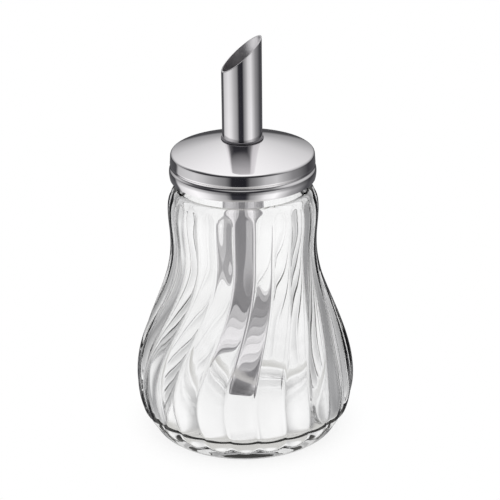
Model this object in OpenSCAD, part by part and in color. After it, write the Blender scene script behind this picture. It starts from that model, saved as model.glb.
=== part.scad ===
// Sugar pourer: a swirled, lobed glass jar, a screw cap and a slanted pouring tube.
// Millimetres, +Z up, origin at the centre of the foot ring, the spout mouth opens towards -X.

/* [Jar body] */
// Outer radius of the plain foot ring
foot_r = 34.8; // [32:0.2:37]
// Height of the widest part of the belly
belly_z = 20; // [17:0.5:25]
// Widest radius of the belly, measured over the lobes
belly_r = 42.3; // [39:0.1:46]
// Height of the slender waist
waist_z = 76; // [68:0.5:80]
// Radius of the waist, measured over the lobes
waist_r = 27.8; // [26.5:0.1:32]
// Height at which the shoulder starts to round in
shoulder_z = 89; // [86:0.5:91]
// Radius of the shoulder, measured over the lobes
shoulder_r = 28.5; // [27.5:0.1:33]
// Height at which the shoulder meets the neck
neck_z = 98.1; // [97:0.25:101]
// Outer radius of the glass neck
neck_r = 24.7; // [23:0.1:25.2]
// Height of the neck above the shoulder
neck_h = 12; // [11:0.1:14]
// Glass thickness of the side wall, measured at the creases
wall_t = 2.6; // [2:0.1:3.4]
// Extra thickness of the glass low in the belly
wall_extra = 0.78; // [0:0.02:1.5]
// Height below which the glass gets thicker
thick_z = 46; // [30:1:60]
// Glass thickness of the neck
neck_t = 2.3; // [1.8:0.1:3]
// Glass thickness of the floor
floor_t = 4; // [3:0.25:8]
// Radius that rounds the inside edge of the floor
floor_round = 7; // [6:0.5:12]
// Height of the hollow pressed up under the foot
kick_h = 1.6; // [0.8:0.1:2.5]
// Width of the ring that the jar stands on
foot_w = 4.6; // [3:0.2:7]

/* [Swirled lobes] */
// Number of lobes round the jar
lobe_count = 24; // [16:1:26]
// How far a lobe stands out between its two creases
lobe_depth = 0.8; // [0.6:0.05:1.6]
// Rise of the lobes over the creases from the waist up
lobe_top_depth = 0.45; // [0.3:0.05:0.9]
// Height of the scalloped lower end of the lobes
lobe_low = 4.4; // [3.6:0.1:6]
// Height of the arched upper end of the lobes
lobe_high = 96; // [94:0.25:96.5]
// Length of the rounding at each end of a lobe
lobe_end = 4.5; // [3:0.25:7]
// Angle that the lobes lean through from the waist down to the belly
swirl_down = 18.5; // [0:0.5:30]
// Angle that they lean back through from the belly to the foot
swirl_back = 2.5; // [0:0.5:8]

/* [Screw cap] */
// Radial room for the thread between the neck and the cap
thread_room = 2.1; // [1.8:0.1:3]
// Thickness of the pressed steel
cap_t = 0.5; // [0.3:0.05:0.7]
// Height of the skirt, from its lower edge to the top corner
skirt_h = 10.2; // [9.4:0.1:10.8]
// Radius of the rounded top corner
corner_r = 1.3; // [1:0.1:2]
// Height of the rolled groove above the lower edge
groove_z = 4.7; // [4.2:0.1:5.4]
// Depth of the rolled groove
groove_d = 0.5; // [0.2:0.05:0.8]
// Half width of the rolled groove
groove_w = 1.1; // [0.8:0.05:1.4]
// How far the lower band swells out
band_swell = 0.3; // [0:0.05:0.5]
// Part of the crown's height that rises as a straight cone
crown_cone = 3.1; // [1:0.1:5]
// Part of the crown's height that rises as a rounded dome
crown_dome = 2.9; // [1:0.1:5]

/* [Sealing ring] */
// Thickness of the sealing ring
liner_t = 1.2; // [0.8:0.1:1.8]
// How far the ring reaches inside the glass rim
liner_lap = 0.8; // [0.2:0.1:1.5]
// Radial play of the ring inside the cap
liner_play = 0.9; // [0.5:0.1:1.5]

/* [Pouring tube] */
// Outer radius of the tube
tube_r = 7.5; // [6:0.1:8]
// Wall thickness of the tube
tube_t = 0.5; // [0.4:0.05:0.8]
// Height of the tip of the mouth above the collar's seat
spout_h = 38.8; // [30:0.2:50]
// Slope of the mouth
mouth_slope = 40.5; // [25:0.5:50]
// How far the mouth is turned towards the front
mouth_turn = 7.6; // [0:0.2:20]
// Clearance between the jar's floor and the tube's lower tip
tube_gap = 7; // [3:0.25:10]
// Slope of the tube's lower end
inlet_slope = 45; // [0:0.5:60]
// Turn of the inlet, from the mouth's side towards the front
inlet_turn = 75; // [0:1:180]
// Radial play of the tube in the cap's hole
hole_play = 0.06; // [0.04:0.01:0.1]
// How far the swaged bead under the cap stands out of the tube
bead_d = 0.7; // [0.5:0.05:1]
// Height of the swaged bead
bead_h = 1.4; // [1:0.1:2]

/* [Collar] */
// Radial thickness of the collar ring at the foot of the spout
collar_t = 0.65; // [0.5:0.05:1.2]
// Height of the collar ring
collar_h = 0.8; // [0.6:0.05:1.5]

/* [Fits] */
// Clearance between parts that seat on each other
seat_gap = 0.05; // [0.02:0.01:0.1]

/* [Hidden] */
$fn = 96;
eps = 0.01;
lobe_pitch = 360 / lobe_count;
side_steps = 6;
// Rounding of the jar's foot and rim
edge_r = 0.8;
// Turn of the cap's top corner, from the skirt to the crown
corner_turn = 71.5;

// Smooth step from 0 to 1 while z goes from a to b.
function ease(z, a, b) = (1 - cos(180 * max(0, min(1, (z - a) / (b - a))))) / 2;

// Radius of the jar at the creases, without the lobes.
valley_belly = belly_r - lobe_depth;
valley_waist = waist_r - lobe_top_depth;
valley_shoulder = shoulder_r - lobe_top_depth;
function valley_r(z) =
    z < belly_z ? foot_r + (valley_belly - foot_r) * pow(sin(90 * max(0, z) / belly_z), 0.8)
    : z < waist_z ? valley_belly + (valley_waist - valley_belly) * ease(z, belly_z, waist_z)
    : z < shoulder_z ? valley_waist + (valley_shoulder - valley_waist) * ease(z, waist_z, shoulder_z)
    : neck_r + (valley_shoulder - neck_r)
        * sqrt(max(0, 1 - pow(min(1, (z - shoulder_z) / (neck_z - shoulder_z)), 2)));

// Height of a lobe over the creases. u runs from -1 at one crease to 1 at the next.
function lobe_rise(u, z) = let(
    e = max(0, (lobe_low + lobe_end - z) / lobe_end, (z - lobe_high + lobe_end) / lobe_end),
    q = min(1, u * u + e * e))
    (lobe_depth + (lobe_top_depth - lobe_depth) * ease(z, belly_z, waist_z)) * pow(1 - q, 0.8);

// Angle of the swirl: upright at the neck, a lean over the belly, a small lean back at the foot.
function swirl(z) = swirl_down * ease(z, belly_z + 4, waist_z)
    - swirl_back * ease(z, lobe_low, belly_z + 4);

// Heights of the rings of points up the side of the jar.
ring_low = 3;
function side_heights() = concat(
    [for (i = [0:6]) ring_low + (belly_z / 2 - ring_low) * i / 7],
    [for (i = [0:21]) belly_z / 2 + (lobe_high - lobe_end - belly_z / 2) * i / 22],
    [for (i = [0:6]) lobe_high - lobe_end + (lobe_end + 1) * i / 6]);

// The side of the jar with its lobes, as one closed skin over rings of points.
module lobed_side() {
    heights = side_heights();
    rings = len(heights);
    around = lobe_count * side_steps;
    points = [for (z = heights) for (k = [0:around - 1])
        let(u = 2 * (k % side_steps) / side_steps - 1,
            a = (floor(k / side_steps) + (u + 1) / 2 - 0.5) * lobe_pitch + swirl(z),
            r = valley_r(z) + lobe_rise(u, z) - (z == heights[0] ? 0.05 : 0))
        [r * cos(a), r * sin(a), z]];
    sides = [for (j = [0:rings - 2]) for (k = [0:around - 1])
        let(a = j * around + k, b = j * around + (k + 1) % around, c = a + around, d = b + around)
        each [[a, c, b], [b, c, d]]];
    bottom = [for (k = [0:around - 1]) k];
    top = [for (k = [around - 1:-1:0]) (rings - 1) * around + k];
    polyhedron(points = points, faces = concat(sides, [bottom], [top]), convexity = 8);
}

// Inside of the jar: the outline at the creases, moved in by the glass.
inner_neck_r = neck_r - neck_t;
rim_z = neck_z + neck_h;
function inner_r(z) = z > neck_z ? inner_neck_r
    : max(inner_neck_r, valley_r(z) - wall_t - wall_extra * ease(z, thick_z, belly_z));
module jar_inside() {
    top = rim_z + 1;
    rotate_extrude() polygon(concat(
        [[0, floor_t]],
        [for (i = [0:8]) let(a = 90 * i / 8, z = floor_t + floor_round * (1 - cos(a)))
            [min(inner_r(floor_t + floor_round), inner_r(z)) - floor_round * 1.2 * (1 - sin(a)), z]],
        [for (i = [1:26]) let(z = floor_t + floor_round + (neck_z - floor_t - floor_round) * i / 26)
            [inner_r(z), z]],
        [[inner_neck_r, top], [0, top]]));
}

// The hollow under the foot leaves the foot ring round it.
kick_r = foot_r - edge_r - foot_w;
module glass_jar() {
    color([0.86, 0.9, 0.9, 0.5])
    difference() {
        union() {
            lobed_side();
            // Foot ring, with its edge rounded up into the lobes
            rotate_extrude() polygon(concat(
                [[0, 0], [foot_r - edge_r, 0], [foot_r - 0.25, 0.2]],
                [for (i = [1:6]) let(z = (ring_low + 0.4) * i / 6) [valley_r(z), z]],
                [[0, ring_low + 0.4]]));
            // Shoulder over the arches, and the neck with its rounded rim
            rotate_extrude() polygon(concat(
                [[0, lobe_high - 1], [valley_r(lobe_high - 1) - 0.2, lobe_high - 1]],
                [for (i = [0:6]) let(z = lobe_high + 0.2 + (neck_z - lobe_high - 0.2) * i / 6)
                    [valley_r(z), z]],
                [for (i = [0:4]) let(a = 22.5 * i)
                    [neck_r - edge_r + edge_r * cos(a), rim_z - edge_r + edge_r * sin(a)]],
                [[0, rim_z]]));
        }
        jar_inside();
        // Hollow under the foot
        rotate_extrude() polygon([
            [0, -1], [kick_r, -1], [kick_r, 0],
            for (i = [1:6]) let(t = i / 6) [kick_r * (1 - t), kick_h * (1 - pow(1 - t, 2))]]);
    }
}

// Crown of the cap: its height over the top corner at radius r, for the outside.
cap_r = neck_r + thread_room + cap_t;
crown_r = cap_r - corner_r + corner_r * cos(corner_turn);
crown_low = corner_r * (sin(corner_turn) - 1);
function crown(r) = crown_low + crown_cone * (1 - r / crown_r) + crown_dome * (1 - pow(r / crown_r, 2));
function crown_slope(r) = (crown_cone + 2 * crown_dome * r / crown_r) / crown_r;
function crown_under(r) = crown(r) - cap_t * sqrt(1 + pow(crown_slope(r), 2));

// The sealing ring lies on the glass rim and the cap's crown lies on the ring.
liner_ro = cap_r - cap_t - liner_play;
liner_ri = inner_neck_r - liner_lap;
liner_z = rim_z + seat_gap;
cap_top = liner_z + liner_t + seat_gap - crown_under(liner_ro);
cap_low = cap_top - skirt_h;

// Outline of the cap, moved in by d: lower band, rolled groove, upper band, corner and crown.
function skirt_r(h) = cap_r - groove_d * (1 - ease(abs(h - groove_z), 0, groove_w))
    + (h < groove_z ? band_swell * sin(180 * max(0, h) / groove_z) : 0);
function cap_outline(d) = concat(
    [for (i = [0:4]) let(h = (groove_z - groove_w) * i / 5) [skirt_r(h) - d, cap_low + h]],
    [for (i = [0:8]) let(h = groove_z - groove_w + 2 * groove_w * i / 8) [skirt_r(h) - d, cap_low + h]],
    [for (i = [0:6]) let(a = corner_turn * i / 6)
        [cap_r - corner_r + (corner_r - d) * cos(a), cap_top - corner_r + (corner_r - d) * sin(a)]],
    [for (i = [1:10]) let(r = crown_r + (hole_r - crown_r) * i / 10)
        [r, cap_top + (d > 0 ? crown_under(r) : crown(r))]]);

hole_r = tube_r + hole_play;
module screw_cap() {
    inner = cap_outline(cap_t);
    color([0.8, 0.81, 0.83])
    rotate_extrude() polygon(concat(cap_outline(0), [for (i = [len(inner) - 1:-1:0]) inner[i]]));
}

module cap_liner() {
    color([0.93, 0.93, 0.9])
    translate([0, 0, liner_z]) difference() {
        cylinder(r = liner_ro, h = liner_t);
        translate([0, 0, -1]) cylinder(r = liner_ri, h = liner_t + 2);
    }
}

// The collar ring lies on the crown round the foot of the spout.
collar_ri = tube_r + hole_play;
collar_z = cap_top + crown(collar_ri) + seat_gap;
module tube_collar() {
    color([0.45, 0.46, 0.48])
    rotate_extrude() polygon(concat(
        [[collar_ri, collar_z], [collar_ri + collar_t, collar_z]],
        [for (i = [0:6]) let(a = 90 * i / 6)
            [collar_ri + collar_t * cos(a), collar_z + collar_h / 2 + collar_h / 2 * sin(a)]]));
}

tip_z = collar_z + spout_h;
inlet_z = floor_t + tube_gap;
bead_z = cap_top + crown_under(tube_r + bead_d) - seat_gap;
module pour_tube() {
    long = 400;
    color([0.82, 0.83, 0.85])
    difference() {
        rotate_extrude() polygon([
            [tube_r - tube_t, inlet_z - 1], [tube_r, inlet_z - 1],
            [tube_r, bead_z - bead_h],
            for (i = [1:7]) let(a = 180 * i / 8)
                [tube_r + bead_d * sin(a), bead_z - bead_h / 2 - bead_h / 2 * cos(a)],
            [tube_r, bead_z], [tube_r, tip_z + 1], [tube_r - tube_t, tip_z + 1]]);
        // Slanted mouth, its tip on the +X side
        rotate([0, 0, mouth_turn]) translate([tube_r, 0, tip_z]) rotate([0, -mouth_slope, 0])
            translate([-long / 2, -long / 2, 0]) cube([long, long, long]);
        // Slanted inlet, its tip towards the front
        rotate([0, 0, -inlet_turn]) translate([tube_r, 0, inlet_z]) rotate([0, inlet_slope, 0])
            translate([-long / 2, -long / 2, -long]) cube([long, long, long]);
    }
}

glass_jar();
cap_liner();
tube_collar();
screw_cap();
pour_tube();
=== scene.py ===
import bpy
import math
from mathutils import Matrix, Vector


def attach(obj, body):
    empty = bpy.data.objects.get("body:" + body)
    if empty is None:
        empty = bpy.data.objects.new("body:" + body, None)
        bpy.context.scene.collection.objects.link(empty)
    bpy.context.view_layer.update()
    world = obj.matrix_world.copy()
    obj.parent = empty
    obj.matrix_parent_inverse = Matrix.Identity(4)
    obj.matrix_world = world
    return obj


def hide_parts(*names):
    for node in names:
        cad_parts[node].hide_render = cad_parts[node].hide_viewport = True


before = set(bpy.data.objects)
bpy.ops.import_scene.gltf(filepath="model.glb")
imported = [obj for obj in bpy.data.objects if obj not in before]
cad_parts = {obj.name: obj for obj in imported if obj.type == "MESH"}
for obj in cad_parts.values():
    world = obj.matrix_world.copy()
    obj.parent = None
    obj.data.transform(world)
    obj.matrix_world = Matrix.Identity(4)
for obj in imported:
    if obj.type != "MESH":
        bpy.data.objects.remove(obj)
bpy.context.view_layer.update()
mm = 0.001


# Small helpers for edit mode

def clearSelection():
    if bpy.context.object and bpy.context.object.mode != 'OBJECT':
        bpy.ops.object.mode_set(mode='OBJECT')
    bpy.ops.object.select_all(action='DESELECT')


def startRing(name, radius, height, around):
    clearSelection()
    bpy.ops.mesh.primitive_circle_add(vertices=around, radius=radius * mm, fill_type='NOTHING',
                                      location=(0, 0, height * mm))
    piece = bpy.context.object
    piece.name = piece.data.name = name
    bpy.ops.object.transform_apply(location=True, rotation=True, scale=True)
    bpy.ops.object.mode_set(mode='EDIT')
    bpy.ops.mesh.select_mode(type='VERT')
    bpy.ops.mesh.select_all(action='SELECT')
    return piece


def nextRing(last, radius, height):
    # pull the selected ring on to its next radius and height, both in mm
    bpy.ops.mesh.extrude_region_move(
        TRANSFORM_OT_translate={"value": (0, 0, (height - last[1]) * mm)})
    if abs(radius - last[0]) > 1e-6:
        scale = radius / last[0]
        bpy.ops.transform.resize(value=(scale, scale, 1), center_override=(0, 0, height * mm))
    return radius, height


def closeMiddle():
    # shrink the last ring to its centre
    bpy.ops.mesh.extrude_region_move(TRANSFORM_OT_translate={"value": (0, 0, 0)})
    bpy.ops.mesh.merge(type='CENTER')


def selectByPlace(piece, test, kind='VERT'):
    # select the vertices or faces whose place, in mm, passes the test
    bpy.ops.object.mode_set(mode='OBJECT')
    parts = piece.data.vertices if kind == 'VERT' else piece.data.polygons
    for group in (piece.data.vertices, piece.data.edges, piece.data.polygons):
        group.foreach_set("select", [False] * len(group))
    for part in parts:
        place = (part.co if kind == 'VERT' else part.center) / mm
        part.select = bool(test(place))
    bpy.ops.object.mode_set(mode='EDIT')
    bpy.ops.mesh.select_mode(type=kind)


def finishPiece(piece, angle):
    bpy.ops.object.mode_set(mode='EDIT')
    bpy.ops.mesh.select_all(action='SELECT')
    bpy.ops.mesh.remove_doubles(threshold=0.004 * mm)
    bpy.ops.mesh.normals_make_consistent(inside=False)
    bpy.ops.object.mode_set(mode='OBJECT')
    bpy.ops.object.shade_smooth_by_angle(angle=math.radians(angle))


def applyModifier(piece, kind, **settings):
    modifier = piece.modifiers.new(kind.lower(), kind)
    for key, value in settings.items():
        setattr(modifier, key, value)
    bpy.ops.object.modifier_apply(modifier=modifier.name)


def pushOut(piece, name, depth, weightAt):
    # push points out along their normals, each by its own share of the depth
    bpy.ops.object.mode_set(mode='OBJECT')
    group = piece.vertex_groups.new(name=name)
    for vertex in piece.data.vertices:
        weight = weightAt(vertex.co / mm)
        if weight > 0.0005:
            group.add([vertex.index], weight, 'REPLACE')
    applyModifier(piece, 'DISPLACE', direction='NORMAL', mid_level=0.0, strength=depth * mm,
                  vertex_group=name)
    piece.vertex_groups.clear()


def ease(value, low, high):
    share = max(0.0, min(1.0, (value - low) / (high - low)))
    return (1 - math.cos(math.pi * share)) / 2


# Glass jar: one skin, up the lobed outside, over the rim and down the smooth inside.
# Sizes here and in the other pieces are in mm and degrees.

jar = {
    "footRadius": 34.8, "footRound": 0.8, "bellyHeight": 20.0, "bellyRadius": 42.27,
    "waistHeight": 76.0, "waistRadius": 27.8,
    "shoulderHeight": 89.0, "shoulderRadius": 28.5,
    "neckHeight": 98.1, "neckRadius": 24.7, "rimHeight": 110.1,
    "rimRound": 0.8, "rimInside": 0.5,
    "wall": 2.4, "wallExtra": 0.78, "thickHeight": 46.0, "neckWall": 2.3,
    "floor": 4.0, "floorRound": 7.0, "floorReach": 8.4, "kick": 1.6, "footWidth": 4.6,
    "lobes": 24, "lobeDepth": 1.05, "topDepth": 0.45,
    "lobeLow": 4.4, "lobeHigh": 96.0, "lobeEnd": 4.5,
    "swirlDown": 18.5, "swirlBack": 2.5, "perLobe": 12,
    "threadLow": 101.9, "threadPitch": 3.0, "threadTurns": 1.6,
    "threadDepth": 1.0, "threadWidth": 0.95,
}


def lobeDepth(height):
    share = ease(height, jar["bellyHeight"], jar["waistHeight"])
    return jar["lobeDepth"] + (jar["topDepth"] - jar["lobeDepth"]) * share


def creaseRadius(height):
    belly = jar["bellyRadius"] - jar["lobeDepth"]
    waist = jar["waistRadius"] - jar["topDepth"]
    shoulder = jar["shoulderRadius"] - jar["topDepth"]
    if height < jar["bellyHeight"]:
        rise = math.sin(math.pi / 2 * max(0.0, height) / jar["bellyHeight"]) ** 0.8
        return jar["footRadius"] + (belly - jar["footRadius"]) * rise
    if height < jar["waistHeight"]:
        return belly + (waist - belly) * ease(height, jar["bellyHeight"], jar["waistHeight"])
    if height < jar["shoulderHeight"]:
        return waist + (shoulder - waist) * ease(height, jar["waistHeight"], jar["shoulderHeight"])
    share = min(1.0, (height - jar["shoulderHeight"]) / (jar["neckHeight"] - jar["shoulderHeight"]))
    reach = shoulder - jar["neckRadius"]
    return jar["neckRadius"] + reach * math.sqrt(max(0.0, 1 - share * share))


def swirlAngle(height):
    turned = jar["bellyHeight"] + 4
    return (jar["swirlDown"] * ease(height, turned, jar["waistHeight"])
            - jar["swirlBack"] * ease(height, jar["lobeLow"], turned))


def lobeShare(place):
    height = place.z
    if not 0.1 < height < jar["neckHeight"]:
        return 0.0
    # the inside of the jar is left smooth
    if math.hypot(place.x, place.y) < creaseRadius(height) - 0.6:
        return 0.0
    pitch = 360 / jar["lobes"]
    turned = (math.degrees(math.atan2(place.y, place.x)) - swirlAngle(height)) / pitch
    across = 2 * abs(turned - round(turned))
    end = max(0.0, (jar["lobeLow"] + jar["lobeEnd"] - height) / jar["lobeEnd"],
              (height - jar["lobeHigh"] + jar["lobeEnd"]) / jar["lobeEnd"])
    return (1 - min(1.0, across * across + end * end)) ** 0.8 * lobeDepth(height) / jar["lobeDepth"]


def threadShare(place):
    if place.z < jar["threadLow"] - 1.2 or place.z > jar["rimHeight"] - 1.5:
        return 0.0
    if math.hypot(place.x, place.y) < jar["neckRadius"] - 0.3:
        return 0.0
    around = (math.degrees(math.atan2(place.y, place.x)) + 90) % 360 / 360
    best = 0.0
    for turn in range(3):
        along = around + turn
        if along > jar["threadTurns"]:
            continue
        off = abs(place.z - jar["threadLow"] - jar["threadPitch"] * along) / jar["threadWidth"]
        ends = min(1.0, along / 0.08, (jar["threadTurns"] - along) / 0.08)
        best = max(best, (1 - ease(off, 0.25, 1)) * ends)
    return best


def insideRadius(height):
    inner = jar["neckRadius"] - jar["neckWall"]
    if height > jar["neckHeight"]:
        return inner
    thick = jar["wall"] + jar["wallExtra"] * ease(height, jar["thickHeight"], jar["bellyHeight"])
    return max(inner, creaseRadius(height) - thick)


def makeJar():
    footIn = jar["footRadius"] - jar["footRound"]
    piece = startRing("glassJar", footIn, 0.0, jar["lobes"] * jar["perLobe"])
    last = (footIn, 0.0)
    lastTurn = 0.0
    heights = [0.25, 0.7, 1.3, 2.0, 2.7, 3.4] + [4.0 + 0.5 * i for i in range(13)]
    heights += [10.9 + 0.6 * i for i in range(133)] + [90.7 + 0.45 * i for i in range(17)]
    for height in heights:
        last = nextRing(last, creaseRadius(height) - (0.2 if height < 0.5 else 0), height)
        turn = swirlAngle(height)
        if abs(turn - lastTurn) > 1e-6:
            # without a window the turn runs the other way
            bpy.ops.transform.rotate(value=-math.radians(turn - lastTurn), orient_axis='Z',
                                     center_override=(0, 0, height * mm))
            lastTurn = turn
    # neck, with close rings for its thread, and the rounded rim
    neckTop = jar["rimHeight"] - jar["rimRound"]
    count = 34
    for i in range(count + 1):
        height = jar["neckHeight"] + (neckTop - jar["neckHeight"]) * i / count
        last = nextRing(last, jar["neckRadius"], height)
    for i in range(1, 5):
        a = math.pi / 2 * i / 4
        last = nextRing(last, jar["neckRadius"] - jar["rimRound"] * (1 - math.cos(a)),
                        neckTop + jar["rimRound"] * math.sin(a))
    inner = jar["neckRadius"] - jar["neckWall"]
    rimInside = jar["rimInside"]
    last = nextRing(last, inner + rimInside, jar["rimHeight"])
    for i in range(1, 4):
        a = math.pi / 2 * i / 3
        last = nextRing(last, inner + rimInside * (1 - math.sin(a)),
                        jar["rimHeight"] - rimInside * (1 - math.cos(a)))
    # smooth inside, down to the rounded edge of the floor
    floorTop = jar["floor"] + jar["floorRound"]
    count = 40
    last = nextRing(last, inner, jar["neckHeight"] + 0.01)
    for i in range(1, count + 1):
        height = jar["neckHeight"] + (floorTop - jar["neckHeight"]) * i / count
        last = nextRing(last, insideRadius(height), height)
    edge = insideRadius(floorTop)
    for i in range(1, 11):
        a = math.pi / 2 * (1 - i / 10)
        height = jar["floor"] + jar["floorRound"] * (1 - math.cos(a))
        reach = jar["floorReach"] * (1 - math.sin(a))
        last = nextRing(last, min(edge, insideRadius(height)) - reach, height)
    for share in (0.75, 0.5, 0.25):
        last = nextRing(last, (edge - jar["floorReach"]) * share, jar["floor"])
    closeMiddle()
    # underside: flat ring that it stands on, and the hollow pressed up inside it
    selectByPlace(piece, lambda p: abs(p.z) < 0.001 and abs(math.hypot(p.x, p.y) - footIn) < 0.01)
    last = nextRing((footIn, 0.0), footIn - jar["footWidth"], 0.0)
    reach = last[0]
    for i in range(1, 8):
        share = i / 8
        last = nextRing(last, reach * (1 - share), jar["kick"] * (1 - (1 - share) ** 2))
    closeMiddle()
    finishPiece(piece, 180)
    pushOut(piece, "lobes", jar["lobeDepth"], lobeShare)
    pushOut(piece, "thread", jar["threadDepth"], threadShare)
    bpy.ops.object.shade_smooth_by_angle(angle=math.radians(55))
    return piece


glassJar = makeJar()
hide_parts("glass_jar")
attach(glassJar, "jar")
print("glass jar made", len(glassJar.data.vertices))


# Screw cap: a sheet pulled up the skirt and over the crown, its thread rolled in, then thickened

cap = {
    "radius": 27.3, "sheet": 0.5, "low": 101.62, "skirt": 10.2, "corner": 1.3,
    "cornerTurn": 71.5,
    "grooveHeight": 4.7, "grooveDepth": 0.5, "grooveWidth": 1.1, "swell": 0.3, "taper": 0.3,
    "cone": 3.1, "dome": 2.9, "hole": 7.56, "around": 224,
}
capTop = cap["low"] + cap["skirt"]
topRadius = cap["radius"] - cap["taper"]
crownRadius = topRadius - cap["corner"] + cap["corner"] * math.sin(math.radians(90 - cap["cornerTurn"]))


def crownHeight(radius):
    share = radius / crownRadius
    return (capTop + cap["corner"] * (math.cos(math.radians(90 - cap["cornerTurn"])) - 1)
            + cap["cone"] * (1 - share) + cap["dome"] * (1 - share * share))


def makeCap():
    piece = startRing("steelCap", cap["radius"], cap["low"], cap["around"])
    last = (cap["radius"], cap["low"])
    straight = cap["skirt"] - cap["corner"]
    for i in range(1, 33):
        height = straight * i / 32
        swell = cap["swell"] * math.sin(math.pi * min(1.0, height / cap["grooveHeight"]))
        off = height - cap["grooveHeight"]
        groove = cap["grooveDepth"] * (1 - ease(abs(off), 0, cap["grooveWidth"]))
        taper = cap["taper"] * max(0.0, off) / (straight - cap["grooveHeight"])
        last = nextRing(last, cap["radius"] + swell - groove - taper, cap["low"] + height)
    for i in range(1, 9):
        a = math.radians(cap["cornerTurn"]) * i / 8
        last = nextRing(last, topRadius - cap["corner"] * (1 - math.cos(a)),
                        capTop - cap["corner"] * (1 - math.sin(a)))
    for i in range(1, 25):
        radius = crownRadius + (cap["hole"] - crownRadius) * i / 24
        last = nextRing(last, radius, crownHeight(radius))
    bpy.ops.mesh.select_all(action='SELECT')
    bpy.ops.mesh.normals_make_consistent(inside=False)
    bpy.ops.object.mode_set(mode='OBJECT')
    applyModifier(piece, 'SOLIDIFY', thickness=cap["sheet"] * mm, offset=-1.0, use_even_offset=True)
    finishPiece(piece, 40)
    return piece


steelCap = makeCap()
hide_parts("screw_cap")
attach(steelCap, "lid")
print("cap made", len(steelCap.data.vertices))


# Pouring tube: a straight drawn tube, sawn at a slant at both ends

tube = {
    "radius": 7.5, "wall": 0.5, "tip": 155.48, "slope": 40.5, "turn": 7.6,
    "inlet": 11.0, "inletSlope": 45.0, "inletTurn": -75.0,
    "beadDepth": 0.7, "beadHeight": 1.4, "around": 160,
}


def makeTube():
    piece = startRing("pourTube", tube["radius"], tube["inlet"] - 2, tube["around"])
    last = (tube["radius"], tube["inlet"] - 2)
    beadTop = crownHeight(8.2) - 0.62
    last = nextRing(last, tube["radius"], beadTop - tube["beadHeight"])
    for i in range(1, 8):
        a = math.pi * i / 8
        last = nextRing(last, tube["radius"] + tube["beadDepth"] * math.sin(a),
                        beadTop - tube["beadHeight"] * (1 + math.cos(a)) / 2)
    last = nextRing(last, tube["radius"], beadTop)
    last = nextRing(last, tube["radius"], tube["tip"] + 2)
    bpy.ops.mesh.select_all(action='SELECT')
    bpy.ops.mesh.normals_make_consistent(inside=False)
    bpy.ops.object.mode_set(mode='OBJECT')
    applyModifier(piece, 'SOLIDIFY', thickness=tube["wall"] * mm, offset=-1.0, use_even_offset=True,
                  use_rim=False)
    for height, slope, turned, above in ((tube["tip"], tube["slope"], tube["turn"], True),
                                         (tube["inlet"], -tube["inletSlope"], tube["inletTurn"], False)):
        a, turn = math.radians(slope), math.radians(turned)
        side = Vector((math.cos(turn), math.sin(turn), 0))
        normal = Vector((-math.sin(a) * side.x, -math.sin(a) * side.y, math.cos(a)))
        point = Vector((side.x * tube["radius"], side.y * tube["radius"], height)) * mm
        bpy.ops.object.mode_set(mode='EDIT')
        bpy.ops.mesh.select_all(action='SELECT')
        bpy.ops.mesh.bisect(plane_co=point, plane_no=normal, clear_outer=above,
                            clear_inner=not above)
        selectByPlace(piece, lambda p: abs((p * mm - point).dot(normal)) < 2e-6)
        bpy.ops.mesh.select_mode(type='EDGE')
        bpy.ops.mesh.bridge_edge_loops()
        bpy.ops.object.mode_set(mode='OBJECT')
    finishPiece(piece, 40)
    applyModifier(piece, 'BEVEL', width=0.1 * mm, segments=2, limit_method='ANGLE',
                  angle_limit=math.radians(45))
    finishPiece(piece, 40)
    return piece


pourTube = makeTube()
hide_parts("pour_tube")
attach(pourTube, "lid")
print("tube made", len(pourTube.data.vertices))


# Collar ring at the foot of the spout, and the sealing ring on the glass rim

collar = {"inner": 7.56, "width": 0.42, "height": 0.6, "around": 128}
liner = {"outer": 25.9, "inner": 21.6, "thick": 1.2, "low": 110.15, "round": 0.25, "around": 160}


def makeCollar():
    low = crownHeight(collar["inner"]) + 0.05
    piece = startRing("spoutCollar", collar["inner"], low, collar["around"])
    last = nextRing((collar["inner"], low), collar["inner"] + collar["width"], low)
    for i in range(1, 9):
        a = math.pi / 2 * i / 8
        last = nextRing(last, collar["inner"] + collar["width"] * math.cos(a) + 0.0001,
                        low + collar["height"] / 2 * (1 + math.sin(a)))
    last = nextRing(last, collar["inner"], low)
    finishPiece(piece, 50)
    return piece


def makeLiner():
    low, r = liner["low"], liner["round"]
    piece = startRing("sealRing", liner["inner"], low, liner["around"])
    last = nextRing((liner["inner"], low), liner["outer"] - r, low)
    for i in range(1, 4):
        a = math.pi / 2 * i / 3
        last = nextRing(last, liner["outer"] - r * (1 - math.sin(a)), low + r * (1 - math.cos(a)))
    for i in range(0, 4):
        a = math.pi / 2 * i / 3
        last = nextRing(last, liner["outer"] - r * (1 - math.cos(a)),
                        low + liner["thick"] - r * (1 - math.sin(a)))
    last = nextRing(last, liner["inner"], low + liner["thick"])
    last = nextRing(last, liner["inner"], low)
    finishPiece(piece, 50)
    return piece


spoutCollar = makeCollar()
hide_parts("tube_collar")
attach(spoutCollar, "collar")
sealRing = makeLiner()
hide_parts("cap_liner")
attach(sealRing, "seal")
print("collar and seal made")


# Materials

def linearColour(hexText):
    parts = [int(hexText[i:i + 2], 16) / 255 for i in (1, 3, 5)]
    return tuple(p / 12.92 if p <= 0.04045 else ((p + 0.055) / 1.055) ** 2.4 for p in parts) + (1.0,)


def addNode(tree, kind, settings=None, inputs=None):
    node = tree.nodes.new(kind)
    for key, value in (settings or {}).items():
        setattr(node, key, value)
    for key, value in (inputs or {}).items():
        if isinstance(value, bpy.types.NodeSocket):
            tree.links.new(value, node.inputs[key])
        else:
            node.inputs[key].default_value = value
    return node


def newMaterial(name):
    material = bpy.data.materials.new(name)
    material.use_nodes = True
    return material, material.node_tree, material.node_tree.nodes["Principled BSDF"]


def setMaterial(piece, material):
    piece.data.materials.clear()
    piece.data.materials.append(material)


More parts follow.
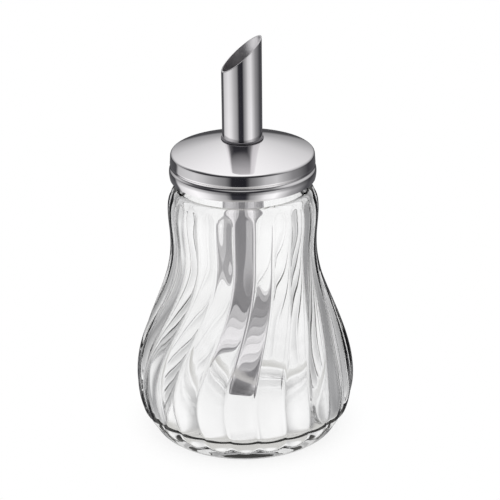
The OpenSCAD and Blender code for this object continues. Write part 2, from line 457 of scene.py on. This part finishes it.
def makeGlass():
    # colourless bottle glass: bright middles and thin grey edges on every lobe
    material, tree, shader = newMaterial("pressedSodaLimeGlass")
    shader.inputs["Base Color"].default_value = linearColour("#fefefe")
    shader.inputs["Roughness"].default_value = 0.0
    shader.inputs["IOR"].default_value = 1.5
    shader.inputs["Transmission Weight"].default_value = 1.0
    # pressed glass is faintly uneven, with its waves drawn out down the side
    place = addNode(tree, "ShaderNodeTexCoord")
    drawn = addNode(tree, "ShaderNodeMapping", None,
                    {"Vector": place.outputs["Object"], "Scale": (1.0, 1.0, 0.35)})
    waves = addNode(tree, "ShaderNodeTexNoise", None,
                    {"Vector": drawn.outputs[0], "Scale": 1 / (7 * mm), "Detail": 1.0})
    bump = addNode(tree, "ShaderNodeBump", None, {"Distance": 0.04 * mm, "Height": waves.outputs[0]})
    tree.links.new(bump.outputs[0], shader.inputs["Normal"])
    return material


def makeSteel():
    # bright mirror polish that softens the edges of what it reflects
    material, tree, shader = newMaterial("polishedStainlessSteel")
    shader.inputs["Base Color"].default_value = linearColour("#efedef")
    shader.inputs["Metallic"].default_value = 1.0
    place = addNode(tree, "ShaderNodeTexCoord")
    # buffing leaves patches a few millimetres wide, which blur the reflections unevenly
    patches = addNode(tree, "ShaderNodeTexNoise", None,
                      {"Vector": place.outputs["Object"], "Scale": 1 / (6 * mm), "Detail": 4.0})
    rough = addNode(tree, "ShaderNodeMapRange", None,
                    {"Value": patches.outputs[0], "From Min": 0.3, "From Max": 0.7,
                     "To Min": 0.03, "To Max": 0.07})
    # the bore of the tube is left as it was drawn, which looks duller
    parts = addNode(tree, "ShaderNodeSeparateXYZ", None, {0: place.outputs["Object"]})
    flat = addNode(tree, "ShaderNodeCombineXYZ", None, {0: parts.outputs["X"], 1: parts.outputs["Y"]})
    reach = addNode(tree, "ShaderNodeVectorMath", {"operation": 'LENGTH'}, {0: flat.outputs[0]})
    bore = addNode(tree, "ShaderNodeMath", {"operation": 'LESS_THAN'},
                   {0: reach.outputs["Value"], 1: (tube["radius"] - tube["wall"] / 2) * mm})
    dull = addNode(tree, "ShaderNodeMath", {"operation": 'MULTIPLY_ADD'},
                   {0: bore.outputs[0], 1: 0.3, 2: rough.outputs["Result"]})
    tree.links.new(dull.outputs[0], shader.inputs["Roughness"])
    # thin pressed sheet is never quite even
    waves = addNode(tree, "ShaderNodeTexNoise", None,
                    {"Vector": place.outputs["Object"], "Scale": 1 / (11 * mm), "Detail": 1.0})
    bump = addNode(tree, "ShaderNodeBump", None, {"Distance": 0.03 * mm, "Height": waves.outputs[0]})
    tree.links.new(bump.outputs[0], shader.inputs["Normal"])
    return material


def makeCollarSteelPaintedShade():
    # the ring at the foot of the spout is left dull, and its steel colour is darkened to grey as painted
    # shade, so it reads as the thin dark line of shade at the foot of the spout
    material, tree, shader = newMaterial("dullSteelWithPaintedShade")
    # painted shade: a dark grey base colour on steel that is bright like the rest of the cap
    shader.inputs["Base Color"].default_value = linearColour("#7d7b80")
    shader.inputs["Metallic"].default_value = 1.0
    shader.inputs["Roughness"].default_value = 0.28
    return material


def makeSeal():
    # matt white foam, seen only through the rim of the glass
    material, tree, shader = newMaterial("foamedPolyethylene")
    shader.inputs["Base Color"].default_value = linearColour("#ecebe6")
    shader.inputs["Roughness"].default_value = 0.6
    return material


steel = makeSteel()
setMaterial(glassJar, makeGlass())
for piece in (steelCap, pourTube):
    setMaterial(piece, steel)
# the collar gets the steel with painted shade, darker than the cap and tube
setMaterial(spoutCollar, makeCollarSteelPaintedShade())
setMaterial(sealRing, makeSeal())
print("materials made")


# Floor, studio and camera

studio = {
    "floorRadius": 3.0,
    "panels": [(-180, 0.15), (-128, 0.1), (-120, 0.8), (-100, 1.0), (-80, 1.15), (-63, 1.0),
               (-47, 0.7), (-27, 0.42), (-21, 0.2), (-17, 0.04), (4, 0.03), (8, 0.12),
               (12, 0.32), (19, 0.46), (28, 0.7), (36, 0.98), (54, 1.15), (66, 0.8),
               (84, 0.42), (98, 0.3), (112, 0.17), (124, 0.08), (180, 0.15)],
    "rear": [(-180, 1.0), (-168, 1.0), (-152, 0.5), (-130, 0.26), (-122, 0.24),
             (122, 0.24), (130, 0.26), (152, 0.5), (168, 1.0), (180, 1.0)],
    "table": [(0.0, 1.0), (0.62, 1.0), (0.7, 0.75), (0.78, 0.55), (1.0, 0.45)],
    "upper": [(0.0, 0.3), (0.15, 0.42), (0.38, 0.7), (0.6, 0.86), (0.8, 1.02), (1.0, 1.1)],
    "front": [(-180, 1.0), (-125, 1.0), (-90, 0.1), (-60, 0.0), (30, 0.0), (55, 0.2),
              (80, 0.8), (180, 1.0)],
    "frontDark": (0.03, 0.03, 0.035, 1), "underJar": (0.62, 0.615, 0.595, 1),
}


coolDark = 0.008


def fillRamp(ramp, stops):
    # the first and last stops are there already; the darks are slightly blue
    elements = ramp.color_ramp.elements
    for place, value in stops[1:-1]:
        elements.new(place).color = (value, value, value + coolDark * (1 - value), 1)
    for element, (place, value) in ((elements[0], stops[0]), (elements[len(stops) - 1], stops[-1])):
        element.position = place
        element.color = (value, value, value + coolDark * (1 - value), 1)


def makeFloor():
    clearSelection()
    bpy.ops.mesh.primitive_circle_add(vertices=96, radius=studio["floorRadius"], fill_type='NGON',
                                      location=(0, 0, -0.0001))
    floor = bpy.context.object
    floor.name = "paleFloor"
    material, tree, shader = newMaterial("paleFloorPaint")
    shader.inputs["Base Color"].default_value = linearColour("#fbfbfb")
    shader.inputs["Roughness"].default_value = 0.9
    rays = addNode(tree, "ShaderNodeLightPath")
    place = addNode(tree, "ShaderNodeTexCoord")
    reach = addNode(tree, "ShaderNodeVectorMath", {"operation": 'LENGTH'}, {0: place.outputs["Object"]})
    # shadows stay close to the jar; further out the floor is plain white
    white = addNode(tree, "ShaderNodeEmission", None, {"Color": (1, 1, 1, 1), "Strength": 1.0})
    fade = addNode(tree, "ShaderNodeMapRange", {"interpolation_type": 'SMOOTHSTEP'},
                   {"Value": reach.outputs["Value"], "From Min": 0.03, "From Max": 0.05, "To Min": 0.8})
    mixed = addNode(tree, "ShaderNodeMixShader", None,
                    {0: fade.outputs["Result"], 1: shader.outputs[0], 2: white.outputs[0]})
    # polished pieces and glass look through it at the studio
    shine = addNode(tree, "ShaderNodeMath", {"operation": 'MAXIMUM'},
                    {0: rays.outputs["Is Glossy Ray"], 1: rays.outputs["Is Transmission Ray"]})
    clear = addNode(tree, "ShaderNodeBsdfTransparent")
    final = addNode(tree, "ShaderNodeMixShader", None,
                    {0: shine.outputs[0], 1: mixed.outputs[0], 2: clear.outputs[0]})
    tree.links.new(final.outputs[0], tree.nodes["Material Output"].inputs["Surface"])
    floor.data.materials.append(material)
    return floor


def makeStudio():
    world = bpy.data.worlds.new("whiteStudio")
    bpy.context.scene.world = world
    world.use_nodes = True
    tree = world.node_tree
    tree.nodes.clear()
    place = addNode(tree, "ShaderNodeTexCoord")
    parts = addNode(tree, "ShaderNodeSeparateXYZ", None, {0: place.outputs["Generated"]})
    back = addNode(tree, "ShaderNodeMath", {"operation": 'MULTIPLY'},
                   {0: parts.outputs["Y"], 1: -1.0})
    turn = addNode(tree, "ShaderNodeMath", {"operation": 'ARCTAN2'},
                   {0: parts.outputs["X"], 1: back.outputs[0]})
    around = addNode(tree, "ShaderNodeMapRange", None,
                     {"Value": turn.outputs[0], "From Min": -math.pi, "From Max": math.pi})
    rays = addNode(tree, "ShaderNodeLightPath")
    # panels round the object, by angle from the camera's side: light left and right, dark between
    panels = addNode(tree, "ShaderNodeValToRGB", None, {0: around.outputs["Result"]})
    fillRamp(panels, [((angle + 180) / 360, value) for angle, value in studio["panels"]])
    # the light falls off towards the horizon
    depth = addNode(tree, "ShaderNodeMath", {"operation": 'ADD'}, {0: parts.outputs["Z"], 1: 1.0})
    table = addNode(tree, "ShaderNodeValToRGB", None, {0: depth.outputs[0]})
    fillRamp(table, studio["table"])
    lit = addNode(tree, "ShaderNodeMix", {"data_type": 'RGBA', "blend_type": 'MULTIPLY'},
                  {0: 1.0, 6: panels.outputs[0], 7: table.outputs[0]})
    # glass looks at the bright wall behind, which the steel only meets from the side
    rear = addNode(tree, "ShaderNodeValToRGB", None, {0: around.outputs["Result"]})
    fillRamp(rear, [((angle + 180) / 360, value) for angle, value in studio["rear"]])
    window = addNode(tree, "ShaderNodeMath", {"operation": 'MULTIPLY'},
                     {0: rear.outputs[0], 1: rays.outputs["Is Transmission Ray"]})
    side = addNode(tree, "ShaderNodeMix", {"data_type": 'RGBA'},
                   {0: window.outputs[0], 6: lit.outputs[2], 7: (1, 1, 1, 1)})
    # the table right under the jar, in its shade
    under = addNode(tree, "ShaderNodeMapRange", None,
                    {"Value": parts.outputs["Z"], "From Min": -0.62, "From Max": -0.72})
    low = addNode(tree, "ShaderNodeMix", {"data_type": 'RGBA'},
                  {0: under.outputs["Result"], 6: side.outputs[2], 7: studio["underJar"]})
    # overhead light, brightest high up, with the dark camera side left out of it
    upper = addNode(tree, "ShaderNodeValToRGB", None, {0: parts.outputs["Z"]})
    fillRamp(upper, studio["upper"])
    front = addNode(tree, "ShaderNodeValToRGB", None, {0: around.outputs["Result"]})
    fillRamp(front, [((angle + 180) / 360, value) for angle, value in studio["front"]])
    high = addNode(tree, "ShaderNodeMapRange", None,
                   {"Value": parts.outputs["Z"], "From Min": 0.7, "From Max": 0.95})
    notFront = addNode(tree, "ShaderNodeMath", {"operation": 'MAXIMUM'},
                       {0: front.outputs[0], 1: high.outputs["Result"]})
    above = addNode(tree, "ShaderNodeMix", {"data_type": 'RGBA'},
                    {0: notFront.outputs[0], 6: studio["frontDark"], 7: upper.outputs[0]})
    lift = addNode(tree, "ShaderNodeMapRange", None,
                   {"Value": parts.outputs["Z"], "From Min": -0.04, "From Max": 0.04})
    studioColour = addNode(tree, "ShaderNodeMix", {"data_type": 'RGBA'},
                           {0: lift.outputs["Result"], 6: low.outputs[2], 7: above.outputs[2]})
    seen = addNode(tree, "ShaderNodeBackground", None,
                   {"Color": studioColour.outputs[2], "Strength": 1.0})
    plain = addNode(tree, "ShaderNodeBackground", None, {"Color": (1, 1, 1, 1), "Strength": 0.95})
    white = addNode(tree, "ShaderNodeBackground", None, {"Color": (1, 1, 1, 1), "Strength": 1.0})
    shine = addNode(tree, "ShaderNodeMath", {"operation": 'MAXIMUM'},
                    {0: rays.outputs["Is Glossy Ray"], 1: rays.outputs["Is Transmission Ray"]})
    first = addNode(tree, "ShaderNodeMixShader", None,
                    {0: shine.outputs[0], 1: plain.outputs[0], 2: seen.outputs[0]})
    second = addNode(tree, "ShaderNodeMixShader", None,
                     {0: rays.outputs["Is Camera Ray"], 1: first.outputs[0], 2: white.outputs[0]})
    output = addNode(tree, "ShaderNodeOutputWorld")
    tree.links.new(second.outputs[0], output.inputs["Surface"])


view = {"distance": 682.5, "rise": 22.75, "aimX": 2.4, "aimZ": 71.5, "lens": 128.9, "roll": 0.62}


def makeCamera():
    camera = bpy.data.cameras.new("viewCamera")
    camera.lens = view["lens"]
    camera.sensor_width = 36
    camera.clip_start = 0.01
    camera.clip_end = 50
    holder = bpy.data.objects.new("viewCamera", camera)
    bpy.context.scene.collection.objects.link(holder)
    rise = math.radians(view["rise"])
    aim = Vector((view["aimX"], 0, view["aimZ"])) * mm
    place = aim + Vector((0, -math.cos(rise), math.sin(rise))) * view["distance"] * mm
    tilt = Matrix.Rotation(math.pi / 2 - rise, 4, 'X')
    roll = Matrix.Rotation(-math.radians(view["roll"]), 4, 'Z')
    holder.matrix_world = Matrix.Translation(place) @ tilt @ roll
    bpy.context.scene.camera = holder


makeFloor()
makeStudio()
makeCamera()
bpy.context.scene.view_settings.view_transform = 'Standard'
print("studio made")
